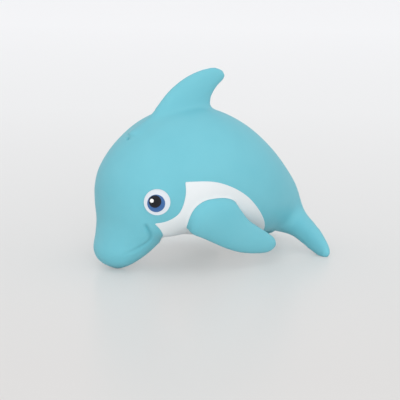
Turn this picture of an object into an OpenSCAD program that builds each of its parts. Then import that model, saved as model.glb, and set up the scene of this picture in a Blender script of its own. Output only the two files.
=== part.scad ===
/* [Body] */
// Length from the forehead to the back of the tail flukes
body_length = 95; // [86:1:106]
// Height of the back above the table, without the dorsal fin
body_height = 62; // [56:1:70]
// Width across the flanks
body_width = 52; // [47:1:58]
// Thickness of the moulded vinyl wall
wall = 2; // [1.6:0.1:2.4]
// Depth by which the beak and the fluke tips are worn flat to stand on
foot_flat = 0.7; // [0.4:0.1:1]

/* [Head] */
// Diameter of the air hole on top of the head
blowhole_diameter = 1.8; // [1.2:0.1:2.4]
// Width of the groove that draws the smile
smile_width = 1.4; // [0.8:0.1:2]
// Radius of the moulded dome that carries an eye
eye_dome_radius = 16; // [14.5:0.5:18]
// Height of that dome above the cheek
eye_rise = 0.6; // [0.4:0.1:0.8]
// Diameter of the white of the eye
eye_diameter = 10; // [9:0.2:11]
// Diameter of the blue iris
iris_diameter = 6.8; // [6.2:0.2:7.4]
// Diameter of the black pupil
pupil_diameter = 4.8; // [4.2:0.2:5.4]
// Diameter of the white glint
glint_diameter = 1.5; // [1:0.1:2]

/* [Dorsal fin] */
// Height of the dorsal fin above the back
dorsal_height = 15; // [12:0.5:18]
// Length of the dorsal fin along the back
dorsal_length = 27; // [23:1:31]
// Thickness of the dorsal fin at its root
dorsal_thickness = 9; // [7:0.5:11]

/* [Flippers] */
// Length of a flipper from its front edge to its tip
flipper_length = 43; // [39:1:47]
// Width of a flipper at its broadest
flipper_width = 18; // [16:0.5:20]
// Thickness of a flipper at its middle
flipper_thickness = 7; // [6:0.5:8]
// Angle by which a flipper points down towards the table
flipper_dip = 20; // [17:1:22]
// Angle by which a flipper leans in under the belly
flipper_tilt = 12; // [9:1:15]
// How far a flipper bows out around the flank
flipper_bow = 4.5; // [3.5:0.5:5.5]

/* [Tail flukes] */
// Width from fluke tip to fluke tip
fluke_span = 53; // [46:1:60]
// Height of the flukes, measured along the tail
fluke_chord = 18; // [16:0.5:20]
// Thickness of the flukes at the middle
fluke_thickness = 6.4; // [5.4:0.2:7.4]

/* [Paint] */
// Thickness of each coat of paint
paint = 0.2; // [0.12:0.02:0.3]

/* [Squeaker] */
// Outer diameter of the squeaker barrel
barrel_diameter = 11.2; // [10.4:0.2:12.4]
// Wall of the barrel
barrel_wall = 1.2; // [0.9:0.1:1.5]
// Thickness of the floor that closes the barrel
barrel_floor = 1.5; // [1.2:0.1:2]
// Diameter of the flange under the belly
flange_diameter = 16.8; // [16:0.2:19]
// Thickness of the flange
flange_thickness = 1.4; // [1:0.1:1.8]
// Height of the snap bead above the neck
bead_height = 0.65; // [0.4:0.05:0.9]
// Width of the reed
reed_width = 4.4; // [3.6:0.2:5]
// Thickness of the reed
reed_thickness = 0.2; // [0.1:0.05:0.3]
// Length of reed that is free to beat
reed_free = 7; // [5.5:0.5:8]
// Length of reed that is clamped
reed_clamp = 3.4; // [2.8:0.2:4]
// Diameter of the sound hole in the barrel floor
sound_hole = 2; // [1.4:0.1:2.4]

/* [Hidden] */
fine = 64;
// Gap between pieces that are pushed together
fit = 0.05;
// Depth of the squeaker's flange inside the belly
flange_sink = 0.2;
// Step from the squeaker's barrel out to its neck
neck_step = 0.35;
// Bare ring between the squeaker's flange and the belly paint
paint_margin = 0.5;

vinyl_blue = [0.49, 0.78, 0.83];
paint_white = [0.93, 0.94, 0.95];
iris_blue = [0.31, 0.48, 0.66];
pupil_black = [0.16, 0.16, 0.18];
squeaker_white = [0.90, 0.90, 0.86];
reed_clear = [0.75, 0.78, 0.78];

// A smooth form is a list of cross-sections. Each row holds one edge x and z, the
// opposite edge x and z, the half thickness along Y and the sideways shift along Y.

// Row at a place t, counted in rows, on a smooth curve through the list
function spline(rows, t) =
    let (
        last = len(rows) - 1,
        i = min(floor(t), last - 1),
        f = t - i,
        a = rows[max(i - 1, 0)],
        b = rows[i],
        c = rows[i + 1],
        d = rows[min(i + 2, last)]
    )
    b + 0.5 * f * ((c - a) + f * ((2 * a - 5 * b + 4 * c - d) + f * (3 * (b - c) + d - a)));

// Middle of the cross-section at place t
function loft_middle(rows, t) =
    let (r = spline(rows, t)) [(r[0] + r[2]) / 2, r[5], (r[1] + r[3]) / 2];

// Point on the surface at place t and angle a: 0 is the first edge, 90 the +Y side
function loft_point(rows, t, a) =
    let (r = spline(rows, t))
    loft_middle(rows, t) + [r[0] - r[2], 0, r[1] - r[3]] / 2 * cos(a) + [0, r[4] * sin(a), 0];

// Outward direction of the surface at place t and angle a
function loft_normal(rows, t, a) =
    let (
        last = len(rows) - 1,
        along = loft_point(rows, min(t + 0.1, last), a) - loft_point(rows, max(t - 0.1, 0), a),
        around = loft_point(rows, t, a + 2) - loft_point(rows, t, a - 2),
        n = cross(along, around)
    )
    n / norm(n);

// Turn that points the Z axis along a direction
function turn_to(n) = [0, acos(n[2]), atan2(n[1], n[0])];

// Rows of a form, from shares of its length, height, half thickness and shift to the -Y side
function sized(shares, length, height, half_thickness, shift = 0) = [
    for (r = shares) [
        r[0] * length, r[1] * height, r[2] * length, r[3] * height, r[4] * half_thickness,
        shift == 0 ? 0 : -r[5] * shift
    ]
];

function unit(v) = v / norm(v);

// Triangles between rings of points, each ring with the same number of sides
function ring_walls(rings, sides) = [
    for (i = [0 : rings - 2], j = [0 : sides - 1])
        let (k = (j + 1) % sides, p = i * sides, q = p + sides)
        each [[p + j, p + k, q + k], [p + j, q + k, q + j]]
];

// Closed solid through a form's cross-sections, from place t0 to place t1, grown outwards
module loft(rows, rings, sides, grow = 0, t0 = 0, t1 = undef) {
    end = is_undef(t1) ? len(rows) - 1 : t1;
    step = (end - t0) / rings;
    start_pole = loft_middle(rows, t0);
    end_pole = loft_middle(rows, end);
    ring_points = [
        for (i = [1 : rings - 1], j = [0 : sides - 1])
            let (t = t0 + i * step, a = (j + 0.5) * 360 / sides)
            loft_point(rows, t, a) + grow * loft_normal(rows, t, a)
    ];
    poles = [
        start_pole + grow * unit(start_pole - loft_middle(rows, t0 + step)),
        end_pole + grow * unit(end_pole - loft_middle(rows, end - step))
    ];
    count = len(ring_points);
    caps = [
        for (j = [0 : sides - 1])
            let (k = (j + 1) % sides, q = count - sides)
            each [[count, k, j], [count + 1, q + j, q + k]]
    ];
    polyhedron(
        points = concat(ring_points, poles),
        faces = concat(ring_walls(rings - 1, sides), caps),
        convexity = 8
    );
}

// Round bar along a path on a surface, thinner towards both ends
module tapered_bar(path, up, radius, sides) {
    last = len(path) - 1;
    points = [
        for (i = [0 : last], j = [0 : sides - 1])
            let (
                run = path[min(i + 1, last)] - path[max(i - 1, 0)],
                side = unit(cross(up[i], run)),
                r = radius * sqrt(0.15 + 0.85 * sin(180 * i / last)),
                a = j * 360 / sides
            )
            path[i] + r * (cos(a) * up[i] + sin(a) * side)
    ];
    ends = [
        [for (j = [0 : sides - 1]) sides - 1 - j],
        [for (j = [0 : sides - 1]) last * sides + j]
    ];
    polyhedron(points = points, faces = concat(ring_walls(last + 1, sides), ends), convexity = 6);
}

// Joins everything inside into one smooth mesh, at the size it already has
module one_mesh() {
    resize([0, 0, 0]) children();
}

module both_sides() {
    children();
    mirror([0, 1, 0]) children();
}

// Body from the beak tip to the tail, in shares of its length, height and half width.
// The first edge is the back, the opposite edge is the throat and belly.
beak_tip = -foot_flat / body_height;
body_shares = [
    [-0.4042, beak_tip, -0.4042, beak_tip, 0.000],
    [-0.4729, 0.042, -0.3486, 0.038, 0.300],
    [-0.4972, 0.115, -0.2799, 0.103, 0.460],
    [-0.4830, 0.210, -0.2294, 0.175, 0.570],
    [-0.4709, 0.305, -0.2344, 0.214, 0.650],
    [-0.4749, 0.410, -0.1869, 0.210, 0.745],
    [-0.4719, 0.530, -0.1415, 0.195, 0.840],
    [-0.4446, 0.655, -0.0960, 0.180, 0.920],
    [-0.3729, 0.797, -0.0505, 0.165, 0.970],
    [-0.2648, 0.921, 0.0051, 0.155, 1.000],
    [-0.1314, 0.988, 0.0606, 0.145, 1.000],
    [0.0000, 0.985, 0.1263, 0.135, 0.970],
    [0.1516, 0.890, 0.1869, 0.125, 0.880],
    [0.2870, 0.731, 0.2476, 0.120, 0.720],
    [0.4072, 0.527, 0.2981, 0.120, 0.510],
    [0.4760, 0.363, 0.3385, 0.115, 0.360],
    [0.4911, 0.265, 0.3739, 0.105, 0.330],
    [0.4901, 0.175, 0.4042, 0.080, 0.380]
];
body_rows = sized(body_shares, body_length, body_height, body_width / 2);

module body(grow = 0) {
    loft(body_rows, 44, 36, grow);
}

// Dorsal fin from its root up: the first edge leads, the opposite edge trails
dorsal_t = 10.2;
dorsal_place = loft_point(body_rows, dorsal_t, 0);
dorsal_shares = [
    [-0.90, -0.60, 0.80, -0.75, 2.10],
    [-0.585, -0.27, 0.575, -0.36, 1.38],
    [-0.445, -0.02, 0.49, -0.14, 1.00],
    [-0.265, 0.35, 0.47, 0.15, 0.80],
    [-0.095, 0.60, 0.52, 0.35, 0.68],
    [0.10, 0.80, 0.595, 0.51, 0.56],
    [0.335, 0.94, 0.675, 0.63, 0.45],
    [0.55, 0.975, 0.71, 0.73, 0.32],
    [0.69, 0.87, 0.69, 0.87, 0.00]
];
dorsal_rows = sized(dorsal_shares, dorsal_length, dorsal_height, dorsal_thickness / 2);

module dorsal_fin() {
    translate(dorsal_place) loft(dorsal_rows, 18, 20);
}

// Left flipper from its front edge to its tip: the first edge is the upper one and the
// last share is that of the outward bow
flipper_place = [-0.199 * body_length, -0.37 * body_width, 0.345 * body_height];
flipper_shares = [
    [-0.040, 0.10, -0.040, 0.10, 0.00, 0.60],
    [-0.033, 0.34, 0.014, -0.14, 0.90, 0.72],
    [0.035, 0.55, 0.070, -0.225, 1.10, 0.85],
    [0.18, 0.70, 0.20, -0.25, 1.10, 0.95],
    [0.325, 0.735, 0.34, -0.29, 1.00, 1.00],
    [0.43, 0.605, 0.47, -0.32, 0.92, 1.00],
    [0.57, 0.43, 0.63, -0.32, 0.85, 0.90],
    [0.76, 0.31, 0.80, -0.265, 0.75, 0.70],
    [0.94, 0.19, 0.945, -0.16, 0.50, 0.50],
    [1.01, 0.02, 1.01, 0.02, 0.00, 0.40]
];
flipper_rows = sized(flipper_shares, flipper_length, flipper_width, flipper_thickness / 2, flipper_bow);

module left_flipper(grow = 0) {
    translate(flipper_place) rotate([flipper_tilt, flipper_dip, 0]) loft(flipper_rows, 18, 18, grow);
}

// Left half of the flukes from the middle out: the first edge is the upper one and the
// last share is the shift towards the head, in thicknesses
fluke_low = 0.76;
fluke_place = [body_length / 2 - 0.53 * fluke_thickness, 0, fluke_low * fluke_chord - foot_flat];
fluke_shares = [
    [0.14, 0.28, 0.12, -0.36, 2.30, 0.68],
    [0.40, 0.12, 0.34, -0.50, 1.75, 0.39],
    [0.67, -0.145, 0.58, -0.645, 1.20, 0.12],
    [0.885, -0.40, 0.80, -fluke_low, 0.74, 0.00],
    [0.96, -0.53, 0.92, -0.745, 0.48, 0.00],
    [0.99, -0.65, 0.99, -0.65, 0.00, 0.00]
];
fluke_half = sized(fluke_shares, fluke_span / 2, fluke_chord, fluke_thickness / 2, fluke_thickness);
fluke_other_half = [
    for (i = [len(fluke_half) - 1 : -1 : 0])
        let (r = fluke_half[i]) [-r[0], r[1], -r[2], r[3], r[4], r[5]]
];

module flukes() {
    translate(fluke_place) rotate([0, 0, -90]) loft(concat(fluke_other_half, fluke_half), 33, 18);
}

// Eye place on the head, and the sphere that its dome and its paint follow
eye_t = 6.71;
eye_a = 292;
eye_face = loft_normal(body_rows, eye_t, eye_a);
eye_centre = loft_point(body_rows, eye_t, eye_a) - (eye_dome_radius - eye_rise) * eye_face;

module at_left_eye() {
    translate(eye_centre) rotate(turn_to(eye_face)) children();
}

// Slightly raised cap of the cheek under the eye
module left_eye_dome() {
    at_left_eye() intersection() {
        sphere(eye_dome_radius, $fn = 40);
        translate([0, 0, eye_dome_radius - eye_rise - wall])
            cylinder(h = 2 * wall, d = 1.6 * eye_diameter, $fn = 40);
    }
}

// One round coat of eye paint: its layer over the dome, its diameter and its place
module left_eye_coat(layer, diameter, down = 0, back = 0) {
    inner = eye_dome_radius + layer * paint;
    at_left_eye() intersection() {
        difference() {
            sphere(inner + paint, $fn = fine);
            sphere(inner, $fn = fine);
        }
        translate([down, back, 0]) cylinder(h = 2 * eye_dome_radius, d = diameter, $fn = fine);
    }
}

// Mouth line on the left of the beak, as places and angles on the body
smile_places = [[5.0, 292], [4.4, 276], [3.8, 266], [3.2, 270], [2.6, 284], [2.1, 302]];

// Points of a smooth curve through a list
function smooth_line(points, steps) =
    [for (i = [0 : steps]) spline(points, i * (len(points) - 1) / steps)];

module left_smile() {
    spots = smooth_line(smile_places, 20);
    path = [for (s = spots) loft_point(body_rows, s[0], s[1])];
    up = [for (s = spots) loft_normal(body_rows, s[0], s[1])];
    tapered_bar(path, up, smile_width / 2, 8);
}

// Squeaker place: a flat round seat in the belly, thicker than the wall round it
squeaker_t = 10;
belly_spot = loft_point(body_rows, squeaker_t, 180);
squeaker_x = belly_spot[0];
seat_wall = 1.3 * wall;
seat_z = belly_spot[2] + flange_sink + flange_thickness;
inner_face_z = seat_z + seat_wall;
neck_radius = barrel_diameter / 2 + neck_step;
seat_radius = flange_diameter / 2 + wall;

// Hollow inside of the body, with the flat squeaker seat left standing
module cavity() {
    difference() {
        loft(body_rows, 26, 20, -wall, 2.2, 15.4);
        translate([squeaker_x, 0, 0]) cylinder(h = inner_face_z, r = seat_radius, $fn = fine);
    }
}

// Block under the table line, which cuts the feet flat
module below_table() {
    translate([-body_length, -body_width, -body_height])
        cube([2 * body_length, 2 * body_width, body_height]);
}

blowhole_t = 8.15;

module air_hole() {
    face = loft_normal(body_rows, blowhole_t, 0);
    translate(loft_point(body_rows, blowhole_t, 0)) rotate(turn_to(face))
        cylinder(h = 4 * wall, d = blowhole_diameter, center = true, $fn = fine);
}

// Recess for the flange, and the hole that the neck snaps into
module squeaker_seat() {
    translate([squeaker_x, 0, 0])
        cylinder(h = seat_z, d = flange_diameter + 4 * fit, $fn = fine);
    translate([squeaker_x, 0, 0])
        cylinder(h = inner_face_z + wall, r = neck_radius + fit, $fn = fine);
}

// Outer form of the figure with its fins, hollow and still without its round holes
module moulding() {
    one_mesh() difference() {
        union() {
            body();
            dorsal_fin();
            flukes();
            both_sides() {
                left_flipper();
                left_eye_dome();
            }
        }
        cavity();
        both_sides() left_smile();
        below_table();
        translate([squeaker_x, 0, 0]) cylinder(h = inner_face_z + wall, r = neck_radius / 2, $fn = 24);
    }
}

module skin() {
    color(vinyl_blue) difference() {
        moulding();
        squeaker_seat();
        air_hole();
    }
}

// White belly seen from the side, in shares of body length and height
white_cheek = [[-0.3416, 0.338], [-0.2961, 0.358], [-0.2577, 0.410], [-0.2375, 0.515], [-0.2365, 0.600]];
white_top = [[-0.2365, 0.600], [-0.0960, 0.581], [0.0455, 0.478], [0.1758, 0.292], [0.2607, 0.120]];
white_under = [[0.2627, -0.100], [-0.2375, -0.100]];
white_throat = [[-0.2375, 0.185], [-0.2829, 0.235], [-0.3234, 0.298]];

module white_mask() {
    outline = concat(smooth_line(white_cheek, 12), smooth_line(white_top, 16), white_under, white_throat);
    rotate([90, 0, 0]) linear_extrude(height = 2 * body_width, center = true)
        polygon([for (p = outline) [p[0] * body_length, p[1] * body_height]]);
}

// Sprayed coat on the belly, from the throat to the tail, open round the flippers and the squeaker
module belly_paint() {
    lift = fit / 5;
    color(paint_white) one_mesh() difference() {
        intersection() {
            body(lift + paint);
            white_mask();
        }
        body(lift);
        both_sides() left_flipper(2 * fit);
        translate([squeaker_x, 0, 0])
            cylinder(h = seat_z, d = flange_diameter + 2 * paint_margin, $fn = fine);
    }
}

// The iris, the pupil and the glint sit a little off the middle of the eye, which looks ahead
module left_eye_white() {
    color(paint_white) left_eye_coat(0, eye_diameter);
}

module left_iris() {
    color(iris_blue) left_eye_coat(1, iris_diameter, 0.04 * eye_diameter, -0.035 * eye_diameter);
}

module left_pupil() {
    color(pupil_black) left_eye_coat(2, pupil_diameter, -0.05 * eye_diameter, -0.085 * eye_diameter);
}

module left_glint() {
    color(paint_white) left_eye_coat(3, glint_diameter, -0.065 * eye_diameter, -0.2 * eye_diameter);
}

module right_eye_white() {
    mirror([0, 1, 0]) left_eye_white();
}

module right_iris() {
    mirror([0, 1, 0]) left_iris();
}

module right_pupil() {
    mirror([0, 1, 0]) left_pupil();
}

module right_glint() {
    mirror([0, 1, 0]) left_glint();
}

// Squeaker frame: its axis is vertical and z = 0 is the outer face of its flange
module at_squeaker() {
    translate([squeaker_x, 0, seat_z - flange_thickness]) children();
}

bore_radius = barrel_diameter / 2 - barrel_wall;
reed_gap = reed_thickness / 2 + fit / 2;
clamp_top = barrel_floor + reed_clamp;
reed_top = clamp_top + reed_free;
block_top = reed_top + barrel_wall;
barrel_top = block_top + barrel_wall;
channel_width = 1.2 * sound_hole;
channel_depth = 1.3 * sound_hole;
// Angle by which the block falls away from the free reed
relief_angle = 4;

// Cup that snaps into the belly, with a flange outside and a bead inside
module squeaker_cup() {
    neck_top = flange_thickness + seat_wall + fit;
    bead_radius = neck_radius + bead_height;
    flange_radius = flange_diameter / 2;
    rim_round = flange_thickness / 4;
    color(squeaker_white) at_squeaker() difference() {
        rotate_extrude($fn = fine) polygon([
            [0, 0], [flange_radius - rim_round, 0], [flange_radius, rim_round],
            [flange_radius, flange_thickness], [neck_radius, flange_thickness],
            [neck_radius, neck_top], [bead_radius, neck_top],
            [bead_radius, neck_top + bead_height],
            [barrel_diameter / 2, neck_top + 3 * bead_height], [barrel_diameter / 2, barrel_top],
            [bore_radius, barrel_top], [bore_radius, barrel_floor], [0, barrel_floor]
        ]);
        translate([reed_gap + channel_depth / 2, 0, 0])
            cylinder(h = 3 * barrel_floor, d = sound_hole, center = true, $fn = fine);
    }
}

// Half of the round plug that fills the barrel, on the +X side of the reed
module half_plug(height) {
    intersection() {
        translate([0, 0, barrel_floor]) cylinder(h = height, r = bore_radius - fit, $fn = fine);
        translate([reed_gap, -bore_radius, 0]) cube([bore_radius, 2 * bore_radius, barrel_top]);
    }
}

// Block behind the reed, with the channel that leads the air down to the sound hole
module reed_block() {
    color(squeaker_white) at_squeaker() difference() {
        half_plug(block_top - barrel_floor);
        translate([0, -channel_width / 2, 0])
            cube([reed_gap + channel_depth, channel_width, reed_top - barrel_wall]);
        translate([reed_gap, -bore_radius, clamp_top]) rotate([0, relief_angle, 0])
            translate([-bore_radius, 0, 0]) cube([bore_radius, 2 * bore_radius, barrel_top]);
    }
}

// Thin strip, clamped below and free to beat above
module reed() {
    color(reed_clear) at_squeaker() translate([-reed_thickness / 2, -reed_width / 2, barrel_floor])
        cube([reed_thickness, reed_width, reed_clamp + reed_free]);
}

module reed_wedge() {
    color(squeaker_white) at_squeaker() mirror([1, 0, 0]) half_plug(reed_clamp);
}

skin();
belly_paint();
left_eye_white();
left_iris();
left_pupil();
left_glint();
right_eye_white();
right_iris();
right_pupil();
right_glint();
squeaker_cup();
reed_block();
reed();
reed_wedge();
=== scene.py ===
import math

import bmesh
import bpy
import numpy as np
from mathutils import Matrix, Quaternion, Vector
from mathutils.bvhtree import BVHTree
from mathutils.kdtree import KDTree


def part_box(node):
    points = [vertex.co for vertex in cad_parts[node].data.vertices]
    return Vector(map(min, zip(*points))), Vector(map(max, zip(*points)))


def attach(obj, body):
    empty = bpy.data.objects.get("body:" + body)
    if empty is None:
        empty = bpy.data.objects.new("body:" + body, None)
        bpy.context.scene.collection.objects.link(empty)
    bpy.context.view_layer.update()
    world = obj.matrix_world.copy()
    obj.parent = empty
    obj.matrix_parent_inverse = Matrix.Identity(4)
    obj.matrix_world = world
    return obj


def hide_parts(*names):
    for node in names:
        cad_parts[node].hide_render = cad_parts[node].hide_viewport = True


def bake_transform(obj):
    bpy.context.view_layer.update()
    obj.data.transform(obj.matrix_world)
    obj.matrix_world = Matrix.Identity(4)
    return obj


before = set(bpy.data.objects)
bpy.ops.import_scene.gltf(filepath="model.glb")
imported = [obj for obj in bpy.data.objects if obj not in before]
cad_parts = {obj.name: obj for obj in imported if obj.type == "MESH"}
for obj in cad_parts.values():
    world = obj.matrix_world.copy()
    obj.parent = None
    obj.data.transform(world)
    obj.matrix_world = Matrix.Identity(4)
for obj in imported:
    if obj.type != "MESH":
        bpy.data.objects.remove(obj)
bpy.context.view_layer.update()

MM = 0.001

# Driving sizes of the figure, in metres, as the part has them
body_length = 95 * MM
body_height = 62 * MM
body_width = 52 * MM
vinyl_wall = 2 * MM
foot_flat = 0.7 * MM
flange_thickness = 1.4 * MM
flange_diameter = 16.8 * MM
bore_radius = 6 * MM
blowhole_radius = 0.9 * MM
smile_width = 1.4 * MM
eye_dome_radius = 16 * MM
eye_rise = 0.6 * MM
eye_diameter = 10 * MM
iris_diameter = 6.8 * MM
pupil_diameter = 4.8 * MM
glint_diameter = 1.5 * MM

# Body from the beak tip to the tail: back x and z, belly x and z, half width, in shares
beak_tip = -foot_flat / body_height
BODY_SHARES = [
    (-0.4042, beak_tip, -0.4042, beak_tip, 0.000),
    (-0.4729, 0.042, -0.3486, 0.038, 0.300),
    (-0.4972, 0.115, -0.2799, 0.103, 0.460),
    (-0.4830, 0.210, -0.2294, 0.175, 0.570),
    (-0.4709, 0.305, -0.2330, 0.196, 0.650),
    (-0.4749, 0.410, -0.1869, 0.190, 0.745),
    (-0.4719, 0.530, -0.1415, 0.192, 0.840),
    (-0.4446, 0.655, -0.0960, 0.180, 0.920),
    (-0.3729, 0.797, -0.0505, 0.165, 0.970),
    (-0.2648, 0.921, 0.0051, 0.155, 1.000),
    (-0.1314, 0.988, 0.0606, 0.145, 1.000),
    (0.0000, 0.985, 0.1263, 0.135, 0.970),
    (0.1516, 0.890, 0.1869, 0.125, 0.880),
    (0.2870, 0.731, 0.2476, 0.120, 0.720),
    (0.4072, 0.527, 0.2981, 0.120, 0.510),
    (0.4760, 0.363, 0.3385, 0.115, 0.360),
    (0.4911, 0.265, 0.3739, 0.105, 0.330),
    (0.4901, 0.175, 0.4042, 0.080, 0.380),
]

# Places along the body, counted in its rows from the beak tip, with the eye's angle around it
dorsal_t = 10.2
blowhole_t = 8.15
squeaker_t = 10
chamber_start_t = 2.2
chamber_end_t = 15.4
eye_spot = (6.71, 292)

# Dorsal fin from its root up: leading edge, trailing edge, half thickness
dorsal_length = 27 * MM
dorsal_height = 15 * MM
dorsal_thickness = 9 * MM
DORSAL_SHARES = [
    (-0.90, -0.60, 0.80, -0.75, 2.10),
    (-0.585, -0.27, 0.575, -0.36, 1.38),
    (-0.445, -0.02, 0.49, -0.14, 1.00),
    (-0.265, 0.35, 0.47, 0.15, 0.80),
    (-0.095, 0.60, 0.52, 0.35, 0.68),
    (0.10, 0.80, 0.595, 0.51, 0.56),
    (0.335, 0.94, 0.675, 0.63, 0.45),
    (0.55, 0.975, 0.71, 0.73, 0.32),
    (0.69, 0.87, 0.69, 0.87, 0.00),
]

# Left flipper from its front edge to its tip: upper edge, lower edge, half thickness, bow
flipper_length = 43 * MM
flipper_width = 18 * MM
flipper_thickness = 7 * MM
flipper_bow = 4.5 * MM
flipper_dip = math.radians(20)
flipper_tilt = math.radians(12)
flipper_place = Vector((-0.199 * body_length, -0.37 * body_width, 0.345 * body_height))
FLIPPER_SHARES = [
    (-0.040, 0.10, -0.040, 0.10, 0.00, 0.60),
    (-0.033, 0.34, 0.014, -0.14, 0.90, 0.72),
    (0.035, 0.55, 0.070, -0.225, 1.10, 0.85),
    (0.18, 0.70, 0.20, -0.25, 1.10, 0.95),
    (0.325, 0.735, 0.34, -0.29, 1.00, 1.00),
    (0.43, 0.605, 0.47, -0.32, 0.92, 1.00),
    (0.57, 0.43, 0.63, -0.32, 0.85, 0.90),
    (0.76, 0.31, 0.80, -0.265, 0.75, 0.70),
    (0.94, 0.19, 0.945, -0.16, 0.50, 0.50),
    (1.01, 0.02, 1.01, 0.02, 0.00, 0.40),
]

# Half of the tail flukes from the middle out: upper edge, lower edge, half thickness, forward shift
fluke_span = 53 * MM
fluke_chord = 18 * MM
fluke_thickness = 6.4 * MM
fluke_low = 0.76
fluke_set_in = 0.53 * fluke_thickness
FLUKE_SHARES = [
    (0.14, 0.36, 0.12, -0.36, 2.30, 0.68),
    (0.40, 0.135, 0.34, -0.50, 1.75, 0.39),
    (0.67, -0.145, 0.58, -0.645, 1.20, 0.12),
    (0.885, -0.40, 0.80, -fluke_low, 0.74, 0.00),
    (0.96, -0.53, 0.92, -0.745, 0.48, 0.00),
    (0.99, -0.65, 0.99, -0.65, 0.00, 0.00),
]

# Mouth line on the left of the beak, as places and angles on the body
SMILE_PLACES = [(5.0, 292), (4.4, 276), (3.8, 266), (3.2, 270), (2.6, 284), (2.1, 302)]
smile_reach = 2.4 * smile_width
groove_half_width = 0.56 * smile_width
groove_depth = 0.44 * smile_width
# Strength of the painted shade that darkens the mouth groove, most along its middle line
groove_shade = 0.75

# Edge of the white belly seen from the side, in shares of body length and height
WHITE_CHEEK = [(-0.3480, 0.342), (-0.2985, 0.358), (-0.2577, 0.410), (-0.2375, 0.515), (-0.2365, 0.600)]
WHITE_TOP = [(-0.2365, 0.600), (-0.0960, 0.581), (0.0455, 0.478), (0.1758, 0.292), (0.2607, 0.120)]
WHITE_UNDER = [(0.2627, -0.100), (-0.2690, -0.100)]
WHITE_THROAT = [(-0.2690, 0.170), (-0.2750, 0.205), (-0.2930, 0.250), (-0.3240, 0.306)]
white_film = 0.14 * MM
white_gap_at_flippers = 0.35 * MM
white_gap_at_squeaker = 0.4 * MM

# Softening where the forms meet: how far it reaches, and its rounds
fuse_voxel = 0.56 * MM
DORSAL_FILLET = (2.6 * MM, 30)
FLUKE_FILLETS = [(4.6 * MM, 90), (7.5 * MM, 40)]
FLIPPER_FILLET = (1.0 * MM, 6)
EYE_FILLET = (1.2 * MM, 24)


# Smooth forms through rows of cross-sections

def spline(rows, t):
    """Row at place t, counted in rows, on a smooth curve through the list."""
    last = len(rows) - 1
    i = min(int(t), last - 1)
    f = t - i
    a, b = np.array(rows[max(i - 1, 0)]), np.array(rows[i])
    c, d = np.array(rows[i + 1]), np.array(rows[min(i + 2, last)])
    return b + 0.5 * f * ((c - a) + f * ((2 * a - 5 * b + 4 * c - d) + f * (3 * (b - c) + d - a)))


def smooth_line(points, steps):
    """Points of a smooth curve through a list."""
    return [spline(points, i * (len(points) - 1) / steps) for i in range(steps + 1)]


def sized(shares, length, height, half_thickness, bow=0.0):
    """Rows of a form in metres: one edge, the opposite edge, half thickness, sideways shift."""
    scales = (length, height, length, height, half_thickness, -bow)
    return [[s * k for s, k in zip((*r, 0.0), scales)] for r in shares]


def loft_point(rows, t, degrees):
    """Point on a form at place t: 0 degrees is its first edge, 90 its +Y side."""
    x1, z1, x2, z2, half, shift = spline(rows, t)
    c, s = math.cos(math.radians(degrees)), math.sin(math.radians(degrees))
    return Vector(((x1 + x2 + c * (x1 - x2)) / 2, shift + half * s, (z1 + z2 + c * (z1 - z2)) / 2))


def loft_normal(rows, t, degrees):
    """Outward direction of a form's surface there."""
    along = loft_point(rows, t + 0.1, degrees) - loft_point(rows, t - 0.1, degrees)
    around = loft_point(rows, t, degrees + 2) - loft_point(rows, t, degrees - 2)
    return along.cross(around).normalized()


def ring_edges(verts):
    """Edges of the circle that these vertices make."""
    return list({e for v in verts for e in v.link_edges})


def lofted(rows, rings, sides, place=Matrix.Identity(4), first=0.02, last=None):
    """Closed bmesh through a form's cross-sections, from one place to another."""
    end = len(rows) - 1.02 if last is None else last
    bm = bmesh.new()
    loops = []
    for i in range(rings):
        x1, z1, x2, z2, half, shift = spline(rows, first + (end - first) * i / (rings - 1))
        section = Matrix((
            ((x1 - x2) / 2, 0, 0, (x1 + x2) / 2),
            (0, half, 0, shift),
            ((z1 - z2) / 2, 0, 1, (z1 + z2) / 2),
            (0, 0, 0, 1),
        ))
        is_end = i in (0, rings - 1)
        made = bmesh.ops.create_circle(
            bm, cap_ends=is_end, segments=sides, radius=1, matrix=place @ section)
        loops.append(ring_edges(made["verts"]))
    for a, b in zip(loops, loops[1:]):
        bmesh.ops.bridge_loops(bm, edges=a + b)
    bmesh.ops.recalc_face_normals(bm, faces=bm.faces)
    return bm


def mirrored(bm):
    """The same form on the toy's other side."""
    other = bm.copy()
    bmesh.ops.scale(other, vec=(1, -1, 1), verts=other.verts)
    bmesh.ops.reverse_faces(other, faces=other.faces)
    return other


def spun_cap(centre, axis, radius, disc, depth, edge=0.0):
    """Round cap of a sphere, closed by a flat back, with a softened rim."""
    bm = bmesh.new()
    lean = math.asin((disc - edge) / radius)
    steps = 10
    turns = [lean * i / steps for i in range(steps + 1)]
    arc = [(radius * math.sin(a), radius * math.cos(a)) for a in turns]
    rim_x, rim_z = arc[-1]
    if edge:
        arc += [(rim_x + 0.7 * edge, rim_z - 0.3 * edge), (disc, rim_z - edge)]
    arc += [(disc, radius - depth), (0.0, radius - depth)]
    verts = [bm.verts.new((x, 0, z)) for x, z in arc]
    edges = [bm.edges.new(pair) for pair in zip(verts, verts[1:])]
    bmesh.ops.spin(
        bm, geom=verts + edges, cent=(0, 0, 0), axis=(0, 0, 1), angle=2 * math.pi,
        steps=64, use_merge=True)
    bmesh.ops.remove_doubles(bm, verts=bm.verts, dist=0.001 * MM)
    turn = axis.to_track_quat("Z", "Y").to_matrix().to_4x4()
    bmesh.ops.transform(bm, matrix=Matrix.Translation(centre) @ turn, verts=bm.verts)
    bmesh.ops.recalc_face_normals(bm, faces=bm.faces)
    return bm


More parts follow.
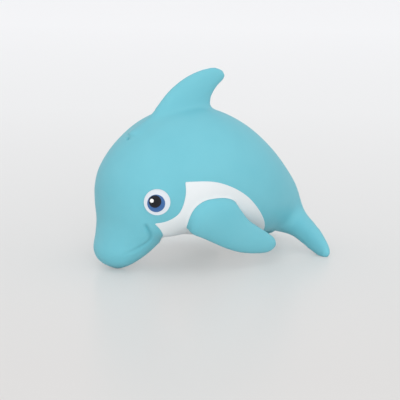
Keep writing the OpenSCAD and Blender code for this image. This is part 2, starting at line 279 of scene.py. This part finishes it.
def piece(name, bm, material=None, flat_angle=None):
    """Object at the origin with this bmesh as its mesh."""
    mesh = bpy.data.meshes.new(name)
    bm.to_mesh(mesh)
    bm.free()
    mesh.shade_smooth()
    if flat_angle:
        mesh.set_sharp_from_angle(angle=math.radians(flat_angle))
    obj = bpy.data.objects.new(name, mesh)
    bpy.context.scene.collection.objects.link(obj)
    if material:
        mesh.materials.append(material)
    return obj


def joined(forms):
    """One bmesh that holds several forms."""
    whole = bmesh.new()
    for form in forms:
        mesh = bpy.data.meshes.new("form")
        form.to_mesh(mesh)
        whole.from_mesh(mesh)
        bpy.data.meshes.remove(mesh)
    return whole


def fused(bm, voxel):
    """One outer surface around forms that overlap."""
    obj = piece("fusing", bm)
    remesh = obj.modifiers.new("fuse", "REMESH")
    remesh.mode = "VOXEL"
    remesh.voxel_size = voxel
    evaluated = obj.evaluated_get(bpy.context.evaluated_depsgraph_get())
    result = bmesh.new()
    result.from_mesh(evaluated.to_mesh())
    bpy.data.objects.remove(obj)
    return result


def relax(bm, verts, rounds):
    """Evens out a surface, a little more with each round."""
    for _ in range(rounds):
        bmesh.ops.smooth_vert(
            bm, verts=verts, factor=0.5, use_axis_x=True, use_axis_y=True, use_axis_z=True)


def fillet(bm, tree_a, tree_b, reach, rounds):
    """Softens the corner where two forms meet."""
    near = [
        v for v in bm.verts
        if tree_a.find_nearest(v.co, reach)[0] and tree_b.find_nearest(v.co, reach)[0]
    ]
    relax(bm, near, rounds)


def cut_along(bm, value):
    """Cuts a surface where value, an array over its vertices, is zero and drops the negative side."""
    bm.verts.index_update()
    level = {v: float(value[v.index]) for v in bm.verts}
    crossing = [e for e in bm.edges if level[e.verts[0]] * level[e.verts[1]] < 0]
    on_line = []
    for e in crossing:
        a, b = e.verts
        share = level[a] / (level[a] - level[b])
        on_line.append(bmesh.utils.edge_split(e, a, share)[1])
    bmesh.ops.connect_verts(bm, verts=on_line)
    outside = [f for f in bm.faces if sum(level.get(v, 0.0) for v in f.verts) < 0]
    bmesh.ops.delete(bm, geom=outside, context="FACES")


def rim_near(bm, point, reach):
    """Edges of the open rim around a point."""
    return [e for e in bm.edges if e.is_boundary and (e.verts[0].co - point).length < reach]


def ring(bm, centre, axis, radius, segments=64):
    """Edges of a new circle around an axis."""
    turn = axis.to_track_quat("Z", "Y").to_matrix().to_4x4()
    made = bmesh.ops.create_circle(
        bm, segments=segments, radius=radius, matrix=Matrix.Translation(centre) @ turn)
    return ring_edges(made["verts"])


def coordinates(bm):
    """Places of all vertices, as an array."""
    return np.array([v.co for v in bm.verts])


# Finishes

def finish_of(name, roughness, colour=(0.8, 0.8, 0.8)):
    """New material with its nodes, links and shader."""
    material = bpy.data.materials.new(name)
    material.use_nodes = True
    nodes, links = material.node_tree.nodes, material.node_tree.links
    shader = nodes["Principled BSDF"]
    shader.inputs["Base Color"].default_value = (*colour, 1)
    shader.inputs["Roughness"].default_value = roughness
    return material, nodes, links, shader


def noise(nodes, links, scale, detail):
    """Noise texture on Object coordinates, with scale in waves a metre."""
    place = nodes.new("ShaderNodeTexCoord")
    texture = nodes.new("ShaderNodeTexNoise")
    texture.inputs["Scale"].default_value = scale
    texture.inputs["Detail"].default_value = detail
    links.new(place.outputs["Object"], texture.inputs["Vector"])
    return texture.outputs["Fac"]


def ramp(nodes, links, source, stops):
    """Colour ramp over a value: stops are places and colours."""
    node = nodes.new("ShaderNodeValToRGB")
    elements = node.color_ramp.elements
    while len(elements) < len(stops):
        elements.new(0.5)
    for element, (place, colour) in zip(elements, stops):
        element.position = place
        element.color = (*colour, 1)
    links.new(source, node.inputs["Fac"])
    return node.outputs["Color"]


def grain(nodes, links, shader, scale, height, strength):
    """Fine moulded or sprayed texture that breaks up the light."""
    bump = nodes.new("ShaderNodeBump")
    bump.inputs["Strength"].default_value = strength
    bump.inputs["Distance"].default_value = height
    links.new(noise(nodes, links, scale, 3), bump.inputs["Height"])
    links.new(bump.outputs["Normal"], shader.inputs["Normal"])


def uneven_gloss(nodes, links, shader, low, high, scale):
    """Roughness that drifts between two values."""
    span = nodes.new("ShaderNodeMapRange")
    span.inputs["To Min"].default_value = low
    span.inputs["To Max"].default_value = high
    links.new(noise(nodes, links, scale, 2), span.inputs["Value"])
    links.new(span.outputs["Result"], shader.inputs["Roughness"])


def mixed(nodes, links, share, colour_a, colour_b):
    """Blend of two colours, each an output socket or a fixed colour."""
    mix = nodes.new("ShaderNodeMix")
    mix.data_type = "RGBA"
    links.new(share, mix.inputs["Factor"])
    for socket, colour in (("A", colour_a), ("B", colour_b)):
        target = next(i for i in mix.inputs if i.name == socket and i.type == "RGBA")
        if isinstance(colour, tuple):
            target.default_value = (*colour, 1)
        else:
            links.new(colour, target)
    return next(o for o in mix.outputs if o.type == "RGBA")


def vinyl_finish():
    """Soft matte blue vinyl, with painted shade that darkens it along the mouth groove."""
    material, nodes, links, shader = finish_of("soft_blue_vinyl", 0.5)
    body = ramp(nodes, links, noise(nodes, links, 45, 3), [
        (0.30, (0.153, 0.498, 0.583)),
        (0.70, (0.172, 0.528, 0.612)),
    ])
    # Painted shade: the mouth groove is mixed toward a darker blue, as shade falls in the crease
    groove_painted_shade = nodes.new("ShaderNodeAttribute")
    groove_painted_shade.attribute_name = "groove_painted_shade"
    colour = mixed(nodes, links, groove_painted_shade.outputs["Fac"], body, (0.085, 0.380, 0.460))
    links.new(colour, shader.inputs["Base Color"])
    shader.inputs["Subsurface Weight"].default_value = 0.15
    shader.inputs["Subsurface Radius"].default_value = (0.6, 1.0, 1.1)
    shader.inputs["Subsurface Scale"].default_value = 1.5 * MM
    shader.inputs["Specular IOR Level"].default_value = 0.45
    uneven_gloss(nodes, links, shader, 0.46, 0.56, 160)
    grain(nodes, links, shader, 2200, 0.04 * MM, 0.25)
    return material


def belly_white_finish():
    """Sprayed white paint, slightly uneven."""
    material, nodes, links, shader = finish_of("sprayed_white", 0.5)
    colour = ramp(nodes, links, noise(nodes, links, 70, 4), [
        (0.30, (0.735, 0.765, 0.775)),
        (0.70, (0.770, 0.800, 0.810)),
    ])
    links.new(colour, shader.inputs["Base Color"])
    shader.inputs["Specular IOR Level"].default_value = 0.4
    uneven_gloss(nodes, links, shader, 0.42, 0.54, 200)
    grain(nodes, links, shader, 3200, 0.03 * MM, 0.25)
    return material


def ink_finish(name, inner, outer, centre, reach):
    """Printed ink whose colour runs from the middle of a disc to its edge."""
    material, nodes, links, shader = finish_of(name, 0.3)
    place = nodes.new("ShaderNodeTexCoord")
    away = nodes.new("ShaderNodeVectorMath")
    away.operation = "DISTANCE"
    away.inputs[1].default_value = centre
    links.new(place.outputs["Object"], away.inputs[0])
    share = nodes.new("ShaderNodeMapRange")
    share.inputs["From Max"].default_value = reach
    links.new(away.outputs["Value"], share.inputs["Value"])
    colour = ramp(nodes, links, share.outputs["Result"], [(0.45, inner), (1.0, outer)])
    links.new(colour, shader.inputs["Base Color"])
    shader.inputs["Specular IOR Level"].default_value = 0.2
    uneven_gloss(nodes, links, shader, 0.24, 0.34, 400)
    return material


def squeaker_finish():
    """Milky moulded plastic of the squeaker."""
    material, nodes, links, shader = finish_of("milky_plastic", 0.4)
    colour = ramp(nodes, links, noise(nodes, links, 180, 3), [
        (0.35, (0.74, 0.74, 0.67)),
        (0.65, (0.79, 0.79, 0.73)),
    ])
    links.new(colour, shader.inputs["Base Color"])
    shader.inputs["Subsurface Weight"].default_value = 0.1
    shader.inputs["Subsurface Scale"].default_value = 1 * MM
    uneven_gloss(nodes, links, shader, 0.34, 0.46, 500)
    grain(nodes, links, shader, 1800, 0.02 * MM, 0.2)
    return material


def reed_finish():
    """Thin springy film of the reed, drawn along its length."""
    material, nodes, links, shader = finish_of("reed_film", 0.3)
    place = nodes.new("ShaderNodeTexCoord")
    stretch = nodes.new("ShaderNodeMapping")
    stretch.inputs["Scale"].default_value = (1, 1, 0.05)
    texture = nodes.new("ShaderNodeTexNoise")
    texture.inputs["Scale"].default_value = 3000
    links.new(place.outputs["Object"], stretch.inputs["Vector"])
    links.new(stretch.outputs["Vector"], texture.inputs["Vector"])
    colour = ramp(nodes, links, texture.outputs["Fac"], [
        (0.35, (0.50, 0.55, 0.55)),
        (0.65, (0.60, 0.65, 0.65)),
    ])
    links.new(colour, shader.inputs["Base Color"])
    return material


# Outer forms of the figure

body_rows = sized(BODY_SHARES, body_length, body_height, body_width / 2)
body = lofted(body_rows, 150, 112)

dorsal_place = loft_point(body_rows, dorsal_t, 0)
dorsal_rows = sized(DORSAL_SHARES, dorsal_length, dorsal_height, dorsal_thickness / 2)
dorsal_fin = lofted(dorsal_rows, 60, 56, Matrix.Translation(dorsal_place))

flipper_rows = sized(FLIPPER_SHARES, flipper_length, flipper_width, flipper_thickness / 2, flipper_bow)
flipper_turn = Matrix.Rotation(flipper_dip, 4, "Y") @ Matrix.Rotation(flipper_tilt, 4, "X")
left_flipper = lofted(flipper_rows, 80, 56, Matrix.Translation(flipper_place) @ flipper_turn)
right_flipper = mirrored(left_flipper)

fluke_half = sized(FLUKE_SHARES, fluke_span / 2, fluke_chord, fluke_thickness / 2, fluke_thickness)
fluke_rows = [[-r[0], r[1], -r[2], *r[3:]] for r in reversed(fluke_half)] + fluke_half
fluke_place = Vector((body_length / 2 - fluke_set_in, 0, fluke_low * fluke_chord - foot_flat))
fluke_turn = Matrix.Rotation(math.radians(-90), 4, "Z")
flukes = lofted(fluke_rows, 120, 56, Matrix.Translation(fluke_place) @ fluke_turn)

eye_face = loft_normal(body_rows, *eye_spot)
eye_centre = loft_point(body_rows, *eye_spot) - (eye_dome_radius - eye_rise) * eye_face
left_eye_dome = spun_cap(eye_centre, eye_face, eye_dome_radius, 0.8 * eye_diameter, 2 * vinyl_wall)
right_eye_dome = mirrored(left_eye_dome)


# Skin: the forms fused and softened, then pressed, pierced and given its inner wall

def fused_figure():
    """One softened surface around all the forms, and a search tree for each form."""
    forms = {
        "body": body,
        "dorsal": dorsal_fin,
        "flukes": flukes,
        "left_flipper": left_flipper,
        "right_flipper": right_flipper,
        "left_eye": left_eye_dome,
        "right_eye": right_eye_dome,
    }
    tree = {name: BVHTree.FromBMesh(form) for name, form in forms.items()}
    figure = fused(joined(forms.values()), fuse_voxel)
    relax(figure, figure.verts, 3)
    fillet(figure, tree["body"], tree["dorsal"], *DORSAL_FILLET)
    for softening in FLUKE_FILLETS:
        fillet(figure, tree["body"], tree["flukes"], *softening)
    for side in ("left", "right"):
        fillet(figure, tree["body"], tree[side + "_flipper"], *FLIPPER_FILLET)
        fillet(figure, tree["body"], tree[side + "_eye"], *EYE_FILLET)
    for v in figure.verts:
        v.co.z = max(v.co.z, 0.0)
    return figure, tree


def press_smile(bm):
    """Presses the mouth line into both sides of the beak and marks the painted shade that darkens the
    groove.
    """
    spots = smooth_line(SMILE_PLACES, 240)
    left = [loft_point(body_rows, t, a) for t, a in spots]
    path = KDTree(2 * len(left))
    for i, p in enumerate(left):
        path.insert(p, i)
        path.insert(Vector((p.x, -p.y, p.z)), i)
    path.balance()
    near = [e for e in bm.edges if path.find(e.verts[0].co)[2] < smile_reach]
    bmesh.ops.subdivide_edges(bm, edges=near, cuts=1, use_grid_fill=True)
    bm.normal_update()
    depth = bm.verts.layers.float.new("groove_painted_shade")
    for v in bm.verts:
        _, i, away = path.find(v.co)
        if away < smile_reach:
            along = i / (len(left) - 1)
            fade = min(1.0, 12 * along) * (1 - along) ** 0.7
            groove = fade * math.exp(-(away / groove_half_width) ** 2)
            # Painted shade in the groove, strongest where the groove is deepest
            v[depth] = groove_shade * groove
            v.co -= v.normal * (groove_depth * groove)


def radius_from(points, centre, axis, reach):
    """Distance of points from an axis, or a large value away from the centre."""
    offset = points - np.array(centre)
    along = offset @ np.array(axis)
    away = np.linalg.norm(offset - np.outer(along, np.array(axis)), axis=1)
    return np.where(np.linalg.norm(offset, axis=1) < reach, away, 1.0)


blowhole_face = loft_normal(body_rows, blowhole_t, 0)
blowhole_spot = loft_point(body_rows, blowhole_t, 0)
belly_spot = loft_point(body_rows, squeaker_t, 180)
squeaker_axis = Vector((belly_spot.x, 0, 0))
seat_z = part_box("squeaker_cup")[0].z + flange_thickness
inner_face_z = seat_z + 1.3 * vinyl_wall
flange_fit = 0.1 * MM
boss_radius = flange_diameter / 2 + vinyl_wall
recess_radius = flange_diameter / 2 + flange_fit

# How far around the air hole and the seat each wall is cut, and its rims are looked for
hole_reach = {"outer": 5 * MM, "inner": 6 * MM, "rim": 4 * MM}
seat_reach = {"outer": 12 * MM, "inner": 15 * MM, "rim": 14 * MM}


def inner_wall():
    """Surface of the air chamber, one wall inside the body, facing the air."""
    chamber = lofted(body_rows, 80, 64, first=chamber_start_t, last=chamber_end_t)
    chamber.normal_update()
    for v in chamber.verts:
        v.co -= v.normal * vinyl_wall
    bmesh.ops.reverse_faces(chamber, faces=chamber.faces)
    points = coordinates(chamber)
    at_belly = Vector((squeaker_axis.x, 0, belly_spot.z + vinyl_wall))
    at_hole = blowhole_spot - vinyl_wall * blowhole_face
    hole = radius_from(points, at_hole, blowhole_face, hole_reach["inner"])
    boss = radius_from(points, at_belly, (0, 0, 1), seat_reach["inner"])
    cut_along(chamber, np.minimum(hole - blowhole_radius, boss - boss_radius))
    return chamber


def pierce_skin(outer):
    """Opens the air hole and the squeaker seat, and joins the inner wall to them."""
    points = coordinates(outer)
    hole = radius_from(points, blowhole_spot, blowhole_face, hole_reach["outer"])
    seat = radius_from(points, belly_spot, (0, 0, 1), seat_reach["outer"])
    cut_along(outer, np.minimum(hole - blowhole_radius, seat - recess_radius))
    skin = joined([outer, inner_wall()])
    bmesh.ops.bridge_loops(skin, edges=rim_near(skin, blowhole_spot, hole_reach["rim"]))
    up = Vector((0, 0, 1))
    at_seat = Vector((squeaker_axis.x, 0, seat_z))
    at_inner = Vector((squeaker_axis.x, 0, inner_face_z))
    rim = rim_near(skin, belly_spot, seat_reach["rim"])
    between = (recess_radius + boss_radius) / 2
    outside = [e for e in rim if (e.verts[0].co.xy - at_seat.xy).length < between]
    inside = [e for e in rim if e not in outside]
    loops = [
        outside,
        ring(skin, at_seat, up, recess_radius),
        ring(skin, at_seat, up, bore_radius),
        ring(skin, at_inner, up, bore_radius),
        ring(skin, at_inner, up, boss_radius),
        inside,
    ]
    for a, b in zip(loops, loops[1:]):
        bmesh.ops.bridge_loops(skin, edges=a + b)
    bmesh.ops.recalc_face_normals(skin, faces=skin.faces)
    return skin


# White coat on the throat and belly

def outline_distance(points, outline):
    """Signed distance of side-view points from a closed outline, positive inside."""
    nearest = np.full(len(points), 1.0)
    inside = np.zeros(len(points), bool)
    for a, b in zip(outline, np.roll(outline, -1, axis=0)):
        run = b - a
        share = np.clip(((points - a) @ run) / max(run @ run, 1e-18), 0, 1)
        nearest = np.minimum(nearest, np.linalg.norm(points - a - share[:, None] * run, axis=1))
        spans = (a[1] > points[:, 1]) != (b[1] > points[:, 1])
        rise = run[1] if run[1] else 1e-18
        inside ^= spans & (points[:, 0] < a[0] + run[0] * (points[:, 1] - a[1]) / rise)
    return np.where(inside, nearest, -nearest)


def belly_coat(figure, tree):
    """Part of the figure's surface that the white covers, clear of the flippers and the squeaker."""
    coat = figure.copy()
    points = coordinates(coat)
    line = [*smooth_line(WHITE_CHEEK, 24), *smooth_line(WHITE_TOP, 40), *WHITE_UNDER, *WHITE_THROAT]
    outline = np.array(line) * (body_length, body_height)
    white = outline_distance(points[:, [0, 2]], outline)
    flipper_reach = 8 * MM
    for side in ("left_flipper", "right_flipper"):
        away = [tree[side].find_nearest(v.co, flipper_reach)[3] for v in coat.verts]
        white = np.minimum(white, [1.0 if d is None else d - white_gap_at_flippers for d in away])
    seat = radius_from(points, belly_spot, (0, 0, 1), seat_reach["outer"])
    white = np.minimum(white, seat - recess_radius - white_gap_at_squeaker)
    cut_along(coat, white)
    return coat


figure, trees = fused_figure()
white_coat = belly_coat(figure, trees)
press_smile(figure)

skin_piece = piece("vinyl_skin", pierce_skin(figure), vinyl_finish())
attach(skin_piece, "toy")
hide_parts("skin")

coat_piece = piece("white_belly_coat", white_coat, belly_white_finish())
film = coat_piece.modifiers.new("film", "SOLIDIFY")
film.thickness = white_film
film.offset = 1
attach(coat_piece, "toy")
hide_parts("belly_paint")


# Eyes: four thin domed coats over each other on each side

coat_lift = 0.16 * MM
coat_step = 0.08 * MM
coat_depth = 0.6 * MM
coat_edge = 0.08 * MM

# From the skin out: name, slot, diameter, shift down and back in millimetres, inner and outer colour
EYE_COATS = [
    ("eye_white", "white_paint", eye_diameter, 0, 0, (0.69, 0.725, 0.775), (0.675, 0.71, 0.755)),
    ("iris", "iris_paint", iris_diameter, 0.4, -0.35, (0.045, 0.120, 0.315), (0.060, 0.150, 0.345)),
    ("pupil", "pupil_paint", pupil_diameter, -0.35, -0.8, (0.012, 0.012, 0.016), (0.018, 0.018, 0.026)),
    ("glint", "white_paint", glint_diameter, -0.65, -2.0, (0.92, 0.90, 0.89), (0.90, 0.89, 0.88)),
]

eye_down = Vector((0, 0, -1)) - Vector((0, 0, -1)).project(eye_face)
eye_down.normalize()
eye_back = eye_face.cross(eye_down)
if eye_back.x < 0:
    eye_back.negate()


def eye_coat(layer, diameter, down, back):
    """Left coat: its layer over the dome, its diameter and its shift on the dome."""
    axis = (eye_face + (down * eye_down + back * eye_back) / eye_dome_radius).normalized()
    radius = eye_dome_radius + coat_lift + coat_step * layer
    form = spun_cap(eye_centre, axis, radius, diameter / 2, coat_depth, coat_edge)
    return form, eye_centre + radius * axis


def eye_pieces(coat, slot, layer, diameter, down, back, inner, outer):
    """The same coat on the left eye and on the right eye."""
    form, middle = eye_coat(layer, diameter, down, back)
    for side, bm, centre in (
        ("left", form, middle),
        ("right", mirrored(form), Vector((middle.x, -middle.y, middle.z))),
    ):
        ink = ink_finish(side + "_" + coat + "_ink", inner, outer, centre, diameter / 2)
        made = piece(side + "_" + coat + "_coat", bm, ink, 50)
        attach(made, "toy")
        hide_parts(side + "_" + coat)


for layer, (coat, slot, diameter, down, back, *inks) in enumerate(EYE_COATS):
    eye_pieces(coat, slot, layer, diameter, down * MM, back * MM, *inks)


# Squeaker: its pieces keep their solids; the reed, which bends at its clamp, is remade as a strip
# sliced finely along its height

squeaker_plastic = squeaker_finish()
for name in ("squeaker_cup", "reed_block", "reed_wedge"):
    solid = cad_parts[name]
    solid.data.materials.clear()
    solid.data.materials.append(squeaker_plastic)

reed_low, reed_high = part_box("reed")
reed_middle = (reed_low + reed_high) / 2
reed_size = reed_high - reed_low
strip = bmesh.new()
reed_shape = Matrix.Translation(reed_middle) @ Matrix.Diagonal((*reed_size, 1))
bmesh.ops.create_cube(strip, size=1, matrix=reed_shape)
upright = [e for e in strip.edges if abs(e.verts[0].co.z - e.verts[1].co.z) > reed_size.z / 2]
bmesh.ops.subdivide_edges(strip, edges=upright, cuts=24, use_grid_fill=True)
reed_piece = piece("reed_strip", strip, reed_finish(), 40)
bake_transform(reed_piece)
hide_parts("reed")


# Stage, light and camera

camera_azimuth = math.radians(-31)
camera_elevation = math.radians(12.4)
camera_roll = math.radians(0.9)
# Share of the table's painted glow that the camera and mirror images see, painted light that lifts its
# shadows
table_glow = 0.40


def lamp(name, place, aim, size, power):
    """Round soft lamp that neither the camera nor a mirror image shows."""
    data = bpy.data.lights.new(name, "AREA")
    data.shape = "DISK"
    data.size = size
    data.energy = power
    obj = bpy.data.objects.new(name, data)
    obj.location = place
    obj.rotation_euler = (Vector(aim) - Vector(place)).to_track_quat("-Z", "Y").to_euler()
    obj.visible_camera = False
    obj.visible_glossy = False
    bpy.context.scene.collection.objects.link(obj)


def floor_finish():
    """Pale half-gloss table top with a faint mirror image, painted lighter far behind the toy and
    darker near the front, and partly glowing to the camera and in mirror images, painted light that
    lifts its shadows.
    """
    material, nodes, links, shader = finish_of("pale_table", 0.30)
    shader.inputs["Specular IOR Level"].default_value = 0.3
    place = nodes.new("ShaderNodeTexCoord")
    away = nodes.new("ShaderNodeVectorMath")
    away.operation = "DOT_PRODUCT"
    away.inputs[1].default_value = (-math.sin(camera_azimuth), math.cos(camera_azimuth), 0)
    links.new(place.outputs["Object"], away.inputs[0])
    share = nodes.new("ShaderNodeMapRange")
    share.inputs["From Min"].default_value = -0.15
    share.inputs["From Max"].default_value = 0.9
    links.new(away.outputs["Value"], share.inputs["Value"])
    # Painted light: the table is darker and warmer near the front and brighter far behind the toy
    colour = ramp(nodes, links, share.outputs["Result"], [
        (0.0, (0.735, 0.720, 0.705)),
        (0.15, (0.765, 0.760, 0.750)),
        (0.5, (0.890, 0.890, 0.890)),
        (1.0, (0.98, 0.98, 0.99)),
    ])
    links.new(colour, shader.inputs["Base Color"])
    # Painted light: the table glows in its own colour, which lightens its shadows
    glow = nodes.new("ShaderNodeEmission")
    links.new(colour, glow.inputs["Color"])
    glow.inputs["Strength"].default_value = 1.0
    ray = nodes.new("ShaderNodeLightPath")
    seen = ray.outputs["Is Camera Ray"]
    for other in ("Is Glossy Ray", "Is Transmission Ray"):
        either = nodes.new("ShaderNodeMath")
        either.operation = "MAXIMUM"
        links.new(seen, either.inputs[0])
        links.new(ray.outputs[other], either.inputs[1])
        seen = either.outputs["Value"]
    part = nodes.new("ShaderNodeMath")
    part.operation = "MULTIPLY"
    links.new(seen, part.inputs[0])
    part.inputs[1].default_value = table_glow
    both = nodes.new("ShaderNodeMixShader")
    links.new(part.outputs["Value"], both.inputs["Fac"])
    links.new(shader.outputs["BSDF"], both.inputs[1])
    links.new(glow.outputs["Emission"], both.inputs[2])
    links.new(both.outputs["Shader"], nodes["Material Output"].inputs["Surface"])
    return material


table = bmesh.new()
bmesh.ops.create_grid(table, x_segments=1, y_segments=1, size=6)
floor = piece("floor", table, floor_finish())

world = bpy.data.worlds.new("studio")
world.use_nodes = True
world.node_tree.nodes["Background"].inputs["Color"].default_value = (0.97, 0.98, 1.0, 1)
world.node_tree.nodes["Background"].inputs["Strength"].default_value = 0.87
bpy.context.scene.world = world

toy_middle = (0, 0, 30 * MM)
lamp("overhead_softbox", (-0.10, -0.40, 0.9), toy_middle, size=0.9, power=0.5)
lamp("front_fill", (-0.86, -1.76, 0.62), toy_middle, size=1.15, power=16.0)

# Half the picture's width and the focal length, both in the photo's pixels
half_picture = 200
focal_length = 1500
field_of_view = 2 * math.atan(half_picture / focal_length)
camera_distance = 0.6
camera_aim = Vector((-1.5 * MM, -0.5 * MM, 23.4 * MM))
camera_back = Vector((
    math.sin(camera_azimuth) * math.cos(camera_elevation),
    -math.cos(camera_azimuth) * math.cos(camera_elevation),
    math.sin(camera_elevation),
))
camera_data = bpy.data.cameras.new("camera")
camera_data.sensor_width = 36
camera_data.lens = camera_data.sensor_width / 2 / math.tan(field_of_view / 2)
camera = bpy.data.objects.new("camera", camera_data)
camera.location = camera_aim + camera_distance * camera_back
camera_turn = (-camera_back).to_track_quat("-Z", "Y") @ Quaternion((0, 0, 1), camera_roll)
camera.rotation_euler = camera_turn.to_euler()
bpy.context.scene.collection.objects.link(camera)
bpy.context.scene.camera = camera
bpy.context.scene.view_settings.view_transform = "Standard"
